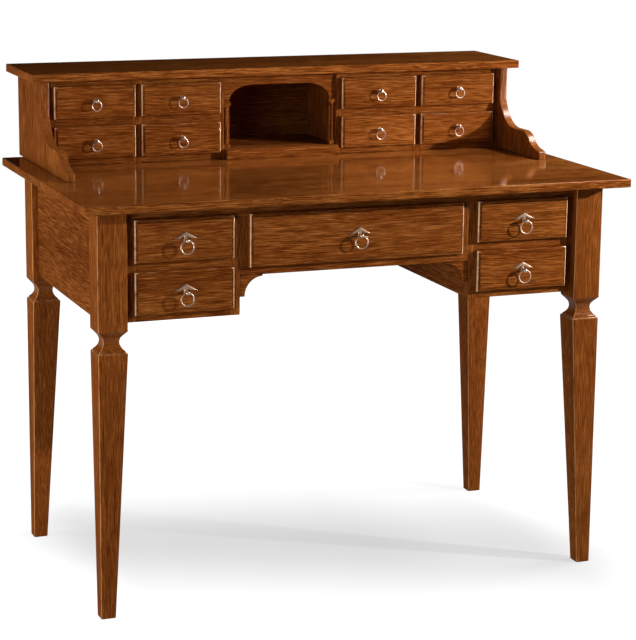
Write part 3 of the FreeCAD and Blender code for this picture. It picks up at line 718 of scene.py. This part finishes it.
def arch():
    """Arched board of the niche with its half columns."""
    low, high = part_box("niche_arch")
    floor = low.z
    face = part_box("gallery_dividers")[0].y + ARCH_SETBACK
    leg_width, run, rise, header = 13.5 * MM, 52 * MM, 31 * MM, 20.5 * MM
    opening = high.x - leg_width
    crown = high.z - header
    spring = crown - rise
    bm = bmesh.new()
    centre = Vector((opening - run, face, spring))
    start = bm.verts.new((opening, face, spring))
    bmesh.ops.spin(bm, geom=[start], cent=centre, axis=(0, -1, 0), angle=math.pi / 2, steps=14,
                   use_merge=False, use_duplicate=False)
    bmesh.ops.scale(bm, vec=(1, 1, rise / run), verts=bm.verts,
                    space=Matrix.Translation(-centre))
    bmesh.ops.mirror(bm, geom=bm.verts[:] + bm.edges[:], axis="X", merge_dist=-1.0)
    bm.verts.ensure_lookup_table()
    right = sorted((v for v in bm.verts if v.co.x > 0), key=lambda v: v.co.z)
    left = sorted((v for v in bm.verts if v.co.x < 0), key=lambda v: -v.co.z)
    corner = [bm.verts.new((x, face, z)) for x, z in
              ((-opening, floor), (-high.x, floor), (-high.x, high.z), (high.x, high.z),
               (high.x, floor), (opening, floor))]
    bm.faces.new(right + left + corner)
    thicken(bm, ARCH_BOARD)
    round_arrises(bm, 0.9 * MM, margin=1.2 * MM)
    finished("niche_arch_board", bm, WALNUT_FRONT, "desk", ["niche_arch"], along=0, smooth=30)

    bm = bmesh.new()
    middle = opening + leg_width / 2
    capital_top = spring - 3 * MM
    capital_low = capital_top - 9.5 * MM
    capital_band = capital_low + 3 * MM
    base_top = floor + 8.5 * MM
    shaft_foot, shaft_neck = 3.2 * MM, 2.9 * MM
    blocks = ((capital_band, capital_top, 4.5 * MM, 1.5 * MM),    # low, high, proud, wider
              (capital_low, capital_band, 3.6 * MM, -1.6 * MM),
              (floor, base_top, 4.5 * MM, 0.0))
    for side in (1, -1):
        shaft = bmesh.ops.create_cone(bm, cap_ends=True, segments=24, radius1=shaft_foot,
                                      radius2=shaft_neck, depth=capital_low - floor)["verts"]
        bmesh.ops.translate(bm, vec=(side * middle, face, (capital_low + floor) / 2), verts=shaft)
        for z0, z1, proud, wide in blocks:
            made = block(bm, (opening - wide, face - proud, z0), (high.x, face + 1 * MM, z1))
            if side < 0:
                for vert in made:
                    vert.co.x = -vert.co.x
    bmesh.ops.recalc_face_normals(bm, faces=bm.faces)
    round_arrises(bm, 0.6 * MM, margin=0.6 * MM)
    finished("niche_columns", bm, WALNUT_FRONT, "desk", ["niche_arch"], along=2, smooth=35)


# ------------------------------------------------------------------ drawers
TOP_RIM_HIGHLIGHT = 0.6              # painted highlight of the top rims; the rims at the sides have 1
RIM_HINT = 0.2                  # beside the painted highlight lines
SIDE_BAND = 0.8                 # this and the next three are shares of the rim, from outside
# bands of the rims that carry the painted highlight, with wear
LEFT_HIGHLIGHT_BAND, RIGHT_HIGHLIGHT_BAND, TOP_HIGHLIGHT_BAND = (0.1, 0.55), (0.2, 0.6), (0.2, 0.6)
RIM_HIGHLIGHT_WIDTH = 6 * MM         # painted highlight and wear of the side rims end this far in from them
FLUSH = 1e-7                    # metres; closer than this is the same plane
FIELD_RISE = 1.5 * MM           # of the raised field over the rim
PLUG_DEPTH = 8 * MM
SIDE_CLEARANCE, PLAY = 1 * MM, 0.3 * MM


def moulded_front(bm, x0, x1, z0, z1, face, lip_face, lip_back, rim):
    """A drawer front: rounded rim, narrow quirk, then a raised field."""
    block(bm, (x0, lip_face, z0), (x1, lip_back, z1))
    for cut in (x0 + rim + RIM_HIGHLIGHT_WIDTH, x1 - rim - RIM_HIGHLIGHT_WIDTH):
        bmesh.ops.bisect_plane(bm, geom=bm.verts[:] + bm.edges[:] + bm.faces[:],
                               plane_co=(cut, 0, 0), plane_no=(1, 0, 0), dist=FLUSH)

    def facing():
        """Faces in the plane of the front."""
        return [f for f in bm.faces if all(abs(v.co.y - lip_face) < FLUSH for v in f.verts)]

    front = facing()
    outline = [e for f in front for e in f.edges
               if sum(g in front for g in e.link_faces) == 1]
    bmesh.ops.bevel(bm, geom=outline, offset=rim, offset_type="OFFSET", affect="EDGES",
                    segments=6, profile=0.5, material=-1)
    wear_and_highlight, grime_and_shade = painted(bm, "wear_and_highlight"), painted(bm, "grime_and_shade")
    # Rims: wear and painted highlight, brightest in bands at the sides and along the top.
    for vert in bm.verts:
        left, right = (vert.co.x - x0) / rim, (x1 - vert.co.x) / rim
        below_top = (z1 - vert.co.z) / rim
        if vert.co.y < lip_face + rim + 0.1 * MM:
            if min(left, right) < SIDE_BAND:
                rubbed_and_highlit = LEFT_HIGHLIGHT_BAND[0] < left < LEFT_HIGHLIGHT_BAND[1] or RIGHT_HIGHLIGHT_BAND[0] < right < RIGHT_HIGHLIGHT_BAND[1]
                vert[wear_and_highlight] = 1.0 if rubbed_and_highlit else RIM_HINT
            elif TOP_HIGHLIGHT_BAND[0] < below_top < TOP_HIGHLIGHT_BAND[1]:
                vert[wear_and_highlight] = TOP_RIM_HIGHLIGHT
    front = facing()
    rise = lip_face - face
    quirk = 0.4 * MM
    for width, depth, worn_and_highlit, dark in (    # flat, into the quirk, its floor with painted shade, up to the field with a little wear and painted highlight
            (0.4 * MM, 0.0, 0.0, 0.0),
            (0.2 * MM, -quirk, 0.0, 0.0),
            (0.6 * MM, 0.0, 0.0, 0.1),
            (0.3 * MM, quirk + rise * 0.55, 0.1, 0.0),
            (0.45 * MM, rise * 0.33, 0.2, 0.0),
            (0.8 * MM, rise * 0.12, 0.1, 0.0),
            (2.5 * MM, 0.0, 0.0, 0.0)):
        bmesh.ops.inset_region(bm, faces=front, thickness=width, depth=depth,
                               use_boundary=True, use_even_offset=True)
        for vert in {v for f in front for v in f.verts}:
            vert[wear_and_highlight] = worn_and_highlit
            vert[grime_and_shade] = dark


def drawer(name, body, lip, overlay, side_board, bottom_board, rim):
    """A lipped drawer: moulded front, its plug, two sides, back and bottom."""
    node = name + "_drawer"
    low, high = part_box(node)
    face = low.y
    lip_back = face + overlay - PLAY
    gap = lip + SIDE_CLEARANCE
    x0, x1 = low.x + gap, high.x - gap
    z0, z1 = low.z + lip + PLAY, high.z - gap
    plug_back = face + overlay + PLUG_DEPTH
    bm = bmesh.new()
    moulded_front(bm, low.x, high.x, low.z, high.z, face, face + FIELD_RISE, lip_back, rim)
    plug = bmesh.new()
    block(plug, (x0, lip_back - 1 * MM, z0), (x1, plug_back, z1))
    round_arrises(plug, 0.5 * MM, segments=2, margin=1.0 * MM)
    spare = bpy.data.meshes.new("plug")
    plug.to_mesh(spare)
    plug.free()
    bm.from_mesh(spare)
    bpy.data.meshes.remove(spare)
    finished(name + "_front", bm, WALNUT_FRONT, body, [node], along=0, smooth=50)

    end = high.y
    walls = [((x0, plug_back, z0), (x0 + side_board, end, z1)),
             ((x1 - side_board, plug_back, z0), (x1, end, z1)),
             ((x0 + side_board, end - side_board, z0), (x1 - side_board, end, z1)),
             ((x0 + side_board, plug_back, z0), (x1 - side_board, end - side_board,
                                                 z0 + bottom_board))]
    boards(name + "_box", walls, WALNUT_BOX, node, radius=0.5 * MM, margin=1.0 * MM,
           body=body)


# ------------------------------------------------------------------ pulls
CASE_WIRE, GALLERY_WIRE = 1.45 * MM, 1.3 * MM
SEAT = 0.5 * MM                 # the eye's post is let this far into its plate
EYE_STEPS = 12
POST_FOOT, POST_NECK = 1.25, 0.8    # of the post's radius
POST_END = 0.4 * MM             # from the end of the post to the hole


def torus(bm, radius, wire):
    """A ring in the XZ plane round the origin."""
    made = bmesh.ops.create_circle(bm, cap_ends=False, segments=14, radius=wire)["verts"]
    bmesh.ops.translate(bm, vec=(radius, 0, 0), verts=made)
    edges = list(set(e for v in made for e in v.link_edges))
    bmesh.ops.spin(bm, geom=made + edges, cent=(0, 0, 0), axis=(0, 1, 0), angle=math.tau,
                   steps=56, use_merge=True, use_duplicate=False)
    bmesh.ops.recalc_face_normals(bm, faces=bm.faces)


def turned(bm, face, pivot, foot, neck, length, segments):
    """A turned piece that stands on a face, its axis towards the sitter; foot, neck are radii."""
    made = bmesh.ops.create_cone(bm, cap_ends=True, segments=segments, radius1=foot,
                                 radius2=neck, depth=length)["verts"]
    bmesh.ops.rotate(bm, verts=made, cent=(0, 0, 0), matrix=Matrix.Rotation(math.pi / 2, 3, "X"))
    bmesh.ops.translate(bm, vec=(pivot.x, face - length / 2, pivot.z), verts=made)


def pivot_of(name, wire):
    """Middle of the wire at the top of a hanging ring."""
    low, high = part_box(name + "_pull_ring")
    return Vector(((low.x + high.x) / 2, (low.y + high.y) / 2, high.z - wire))


def pull_ring(name, wire, radius, thinner):
    """The ring hangs from its pivot; thinner is the radius of its wire, thinned by use."""
    node = name + "_pull_ring"
    bm = bmesh.new()
    torus(bm, radius, thinner)
    bmesh.ops.translate(bm, vec=pivot_of(name, wire) - Vector((0, 0, radius)), verts=bm.verts)
    finished(name + "_ring", bm, NICKEL_RING, name + "_ring", [node], slot="old_nickel", smooth=60)


def eye(name, pivot, face, radius, hole, post, body, node):
    """A drilled ball on a turned post; hole and post are radii."""
    bm = bmesh.new()
    reach = math.acos(hole / radius)
    profile = []
    for step in range(EYE_STEPS + 1):
        turn = -reach + 2 * reach * step / EYE_STEPS
        profile.append(bm.verts.new((radius * math.sin(turn), 0, radius * math.cos(turn))))
    profile.append(bm.verts.new((radius * math.sin(reach) * 0.5, 0, hole)))
    profile.append(bm.verts.new((-radius * math.sin(reach) * 0.5, 0, hole)))
    edges = [bm.edges.new((a, b)) for a, b in zip(profile, profile[1:] + profile[:1])]
    bmesh.ops.spin(bm, geom=profile + edges, cent=(0, 0, 0), axis=(1, 0, 0),
                   angle=math.tau, steps=28, use_merge=True, use_duplicate=False)
    bmesh.ops.translate(bm, vec=pivot, verts=bm.verts[:])
    length = face - pivot.y - hole - POST_END
    turned(bm, face, pivot, post * POST_FOOT, post * POST_NECK, length, segments=24)
    bmesh.ops.recalc_face_normals(bm, faces=bm.faces)
    finished(name + "_eye", bm, NICKEL_EYE, body, [node], slot="old_nickel", smooth=35)


def roof_plate(name, body):
    """Two slim arms falling from a ridge, bevelled in front, their feet cut level."""
    node = name + "_pull_plate"
    pivot = pivot_of(name, CASE_WIRE)
    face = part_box(node)[1].y
    half, rise, lift, arm = 22.3 * MM, 13.2 * MM, 2.2 * MM, 7.4 * MM
    tongue, drop, thick = 3.4 * MM, 3.6 * MM, 2.8 * MM
    foot = arm * half / rise
    notch = lift + rise - arm - tongue * rise / half
    right = [(half, lift), (half - foot, lift), (tongue, notch), (tongue, -drop)]
    outline = [(0.0, lift + rise)] + right + [(-x, z) for x, z in reversed(right)]
    bm = bmesh.new()
    bm.faces.new([bm.verts.new((pivot.x + x, face, pivot.z + z)) for x, z in outline])
    moved = thicken(bm, -thick)
    front = next(f for f in bm.faces if all(v in moved for v in f.verts))
    bmesh.ops.bevel(bm, geom=front.edges[:], offset=1.5 * MM, offset_type="OFFSET",
                    affect="EDGES", segments=1, profile=0.5, material=-1)
    sharp = [e for e in bm.edges if e.calc_face_angle(0.0) > math.radians(25)]
    bmesh.ops.bevel(bm, geom=sharp, offset=0.2 * MM, offset_type="OFFSET", affect="EDGES",
                    segments=2, profile=0.5, material=-1)
    bmesh.ops.recalc_face_normals(bm, faces=bm.faces)
    finished(name + "_plate", bm, NICKEL_PLATE, body, [node], slot="old_nickel", smooth=35)
    eye(name, pivot, face - thick + SEAT, 4.4 * MM, 2.3 * MM, 2.4 * MM, body, node)


def rose(name, body):
    """Small turned rose with its eye."""
    node = name + "_pull_rose"
    pivot = pivot_of(name, GALLERY_WIRE)
    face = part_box(node)[1].y
    across, deep = 4.6 * MM, 1.6 * MM
    bm = bmesh.new()
    turned(bm, face, pivot, across, across, deep, segments=40)
    rim = [e for e in bm.edges if all(v.co.y < face - deep * 0.7 for v in e.verts)
           and e.calc_face_angle(0.0) > 1.0]
    bmesh.ops.bevel(bm, geom=rim, offset=0.9 * MM, offset_type="OFFSET", affect="EDGES",
                    segments=4, profile=0.5, material=-1)
    bmesh.ops.recalc_face_normals(bm, faces=bm.faces)
    finished(name + "_rose", bm, NICKEL_PLATE, body, [node], slot="old_nickel", smooth=35)
    eye(name, pivot, face - deep + SEAT, 4.8 * MM, 2.4 * MM, 2.2 * MM, body, node)


# ------------------------------------------------------------------ put the desk together
CASE_DRAWER = {"lip": CASE_LIP, "overlay": 12 * MM, "side_board": 10 * MM,
               "bottom_board": 5 * MM, "rim": 4.6 * MM}
GALLERY_DRAWER = {"lip": GALLERY_LIP, "overlay": 12 * MM, "side_board": 8 * MM,
                  "bottom_board": 4 * MM, "rim": 4.2 * MM}

slabs()
panels()
case_frame()
for side in (1, -1):
    for end in (1, -1):
        leg(side, end)
brackets()
gallery_sides()
gallery_boards()
arch()
for name in ("left_upper", "left_lower", "centre", "right_upper", "right_lower"):
    body = name + "_drawer"
    drawer(name, body, **CASE_DRAWER)
    roof_plate(name, body)
    pull_ring(name, CASE_WIRE, radius=12.2 * MM, thinner=1.2 * MM)
for column in ("far_left", "mid_left", "mid_right", "far_right"):
    for row in ("upper", "lower"):
        name = "gallery_%s_%s" % (column, row)
        body = name + "_drawer"
        drawer(name, body, **GALLERY_DRAWER)
        rose(name, body)
        pull_ring(name, GALLERY_WIRE, radius=9.4 * MM, thinner=1.05 * MM)
frame["nodes"]["drawer_runners"].data.materials.clear()
frame["nodes"]["drawer_runners"].data.materials.append(WALNUT_RUNNER)


# ------------------------------------------------------------------ studio
FLOOR_HALF = 30.0
FLOOR_GREY = (0.144, 0.144, 0.15, 1.0)
POOL_TURN = 0.40                # the painted shadow pool lies askew, this much y for each metre of x
POOL_BEHIND, POOL_WIDENS, POOL_LEAST = 0.50, 0.21, 0.1    # its reach behind, more with x
POOL_BEFORE = 0.46              # its reach in front
POOL_MIDDLE, POOL_ENDS = 0.03, (0.40, 0.63)    # it fades between these, left and right
POOL_GLOW, POOL_LIFT, POOL_FALL = 0.62, 0.34, 0.064    # floor glow within the painted shadow pool, more at its edge, less with x
POOL_EDGE = (0.7, 1.1)          # distance over which the floor turns white
GLOSSY_FLOOR = 0.2              # how much of its glow shows in reflections
ROOM_LIGHT = 0.06
COVE = (-0.04, 0.03)            # slope of a mirrored ray, from white backdrop to dark room


def floor():
    """Pale floor that shows the desk's cast shadow, with a painted shadow pool of dimmed glow under
    the desk that fades to white.
    """
    bm = bmesh.new()
    bmesh.ops.create_grid(bm, x_segments=1, y_segments=1, size=FLOOR_HALF)
    mesh = bpy.data.meshes.new("floor")
    bm.to_mesh(mesh)
    bm.free()
    piece = new_object("floor", mesh)
    material, tree, shader = new_material("pale_floor")
    shader.inputs["Base Color"].default_value = FLOOR_GREY
    shader.inputs["Roughness"].default_value = 0.9
    shader.inputs["Specular IOR Level"].default_value = 0.0
    place = put(tree, "ShaderNodeTexCoord").outputs["Object"]
    split = put(tree, "ShaderNodeSeparateXYZ")
    feed(tree, split.inputs[0], place)
    x, y = split.outputs["X"], split.outputs["Y"]
    # Painted shadow pool: the glow is dimmed under the desk, askew, and less towards +X.
    slant = sum_of(tree, "ADD", y, sum_of(tree, "MULTIPLY", x, POOL_TURN))
    reach = sum_of(tree, "ADD", sum_of(tree, "MULTIPLY", x, POOL_WIDENS), POOL_BEHIND)
    reach = sum_of(tree, "MAXIMUM", reach, POOL_LEAST)
    behind = spread(tree, sum_of(tree, "DIVIDE", slant, reach), 0.0, 1.0)
    before = spread(tree, sum_of(tree, "MULTIPLY", slant, -1.0), 0.0, POOL_BEFORE)
    sideways = sum_of(tree, "ABSOLUTE", sum_of(tree, "SUBTRACT", x, POOL_MIDDLE))
    ends = spread(tree, sideways, *POOL_ENDS)
    fade = sum_of(tree, "ADD", sum_of(tree, "ADD", behind, before), ends, clamp=True)
    glow = sum_of(tree, "ADD", POOL_GLOW, sum_of(tree, "MULTIPLY", fade, POOL_LIFT))
    glow = sum_of(tree, "SUBTRACT", glow, sum_of(tree, "MULTIPLY", x, POOL_FALL))
    far = put(tree, "ShaderNodeVectorMath", operation="LENGTH")
    feed(tree, far.inputs[0], place)
    glow = sum_of(tree, "MAXIMUM", sum_of(tree, "MINIMUM", glow, 1.0),
                  spread(tree, far.outputs["Value"], *POOL_EDGE))
    path = put(tree, "ShaderNodeLightPath")
    seen = sum_of(tree, "MAXIMUM", path.outputs["Is Camera Ray"],
                  path.outputs["Is Transmission Ray"])
    mirrored = sum_of(tree, "MULTIPLY", path.outputs["Is Glossy Ray"], GLOSSY_FLOOR)
    seen = sum_of(tree, "ADD", seen, mirrored)
    feed(tree, shader.inputs["Emission Color"], (1.0, 1.0, 1.0, 1.0))
    feed(tree, shader.inputs["Emission Strength"], sum_of(tree, "MULTIPLY", glow, seen))
    mesh.materials.append(material)


def world():
    """Plain soft room light, and a white background behind the desk."""
    made = bpy.data.worlds.new("studio")
    bpy.context.scene.world = made
    made.use_nodes = True
    tree = made.node_tree
    background = tree.nodes["Background"]
    path = put(tree, "ShaderNodeLightPath")
    place = put(tree, "ShaderNodeTexCoord").outputs["Generated"]
    split = put(tree, "ShaderNodeSeparateXYZ")
    feed(tree, split.inputs[0], place)
    cove = spread(tree, split.outputs["Z"], *COVE, 1.0, 0.0)
    gloss = path.outputs["Is Glossy Ray"]
    white = sum_of(tree, "MAXIMUM", path.outputs["Is Camera Ray"],
                   path.outputs["Is Transmission Ray"])
    white = sum_of(tree, "MAXIMUM", white, sum_of(tree, "MULTIPLY", gloss, cove))
    room = sum_of(tree, "MULTIPLY", sum_of(tree, "SUBTRACT", 1.0, gloss), ROOM_LIGHT)
    background.inputs["Color"].default_value = (1.0, 1.0, 1.0, 1.0)
    feed(tree, background.inputs["Strength"], sum_of(tree, "MAXIMUM", white, room))


NEUTRAL = (1.0, 1.0, 1.0)
WARM = (1.0, 0.97, 0.93)
CREAM = (1.0, 0.80, 0.58)


def softbox(name, place, aim, width, height, power, colour=NEUTRAL, mirrored=True):
    """A rectangular lamp; one that isn't mirrored lights the desk but doesn't show in its gloss."""
    lamp = bpy.data.lights.new(name, "AREA")
    lamp.shape = "RECTANGLE"
    lamp.size, lamp.size_y = width, height
    lamp.energy = power
    lamp.color = colour
    made = new_object(name, lamp)
    made.visible_glossy = mirrored
    made.location = place
    made.rotation_euler = (Vector(aim) - Vector(place)).to_track_quat("-Z", "Y").to_euler()


CAMERA_PLACE = (-1.51846, -3.99665, 1.42087)
CAMERA_PITCH, CAMERA_ROLL, CAMERA_YAW = -0.218695, 0.0102262, 0.369366
SENSOR_WIDTH, FOCAL_LENGTH = 36.0, 123.126    # millimetres


def camera():
    """Seen from the left in front, a little from above."""
    lens = bpy.data.cameras.new("camera")
    lens.sensor_width = SENSOR_WIDTH
    lens.lens = FOCAL_LENGTH
    lens.clip_end = 100.0
    made = new_object("camera", lens)
    pitch, roll, yaw = CAMERA_PITCH, CAMERA_ROLL, CAMERA_YAW
    ahead = Vector((math.sin(yaw) * math.cos(pitch), math.cos(yaw) * math.cos(pitch),
                    math.sin(pitch)))
    level = Vector((math.cos(yaw), -math.sin(yaw), 0.0))
    above = level.cross(ahead)
    right = level * math.cos(roll) + above * math.sin(roll)
    up = above * math.cos(roll) - level * math.sin(roll)
    aimed = Matrix((right, up, -ahead)).transposed().to_4x4()
    made.matrix_world = Matrix.Translation(CAMERA_PLACE) @ aimed
    bpy.context.scene.camera = made


floor()
world()
softbox("key", (1.7, -1.1, 1.18), (0.0, 0.0, 0.75), 0.05, 0.05, 42.0, WARM)
softbox("top_light", (1.2, -0.15, 2.0), (0.1, 0.0, 0.8), 0.4, 0.4, 23.0, WARM)
softbox("left_side", (-2.3, 0.45, 0.95), (-0.5, 0.0, 0.6), 1.0, 1.4, 24.0, mirrored=False)
softbox("left_near", (-1.6, -1.3, 0.5), (-0.2, 0.0, 0.5), 0.8, 0.8, 8.5)
softbox("left_front", (-2.2, -2.6, 1.4), (0.0, 0.0, 0.6), 1.0, 1.0, 10.0, mirrored=False)
softbox("left_strip", (-1.9, -0.8, 0.35), (0.0, 0.0, 0.35), 0.04, 0.7, 4.0, CREAM)
softbox("neck_light", (0.93, -0.82, 1.48), (0.5, -0.27, 0.5), 0.12, 0.12, 1.4, CREAM)
softbox("back_fill", (0.5, 2.4, 0.4), (0.0, 0.3, 0.6), 1.4, 0.5, 14.0, WARM)
softbox("right_strip", (2.0, -0.6, 0.4), (0.0, 0.0, 0.4), 0.04, 0.8, 1.5, CREAM)
camera()

scene = bpy.context.scene
scene.view_settings.view_transform = "Standard"
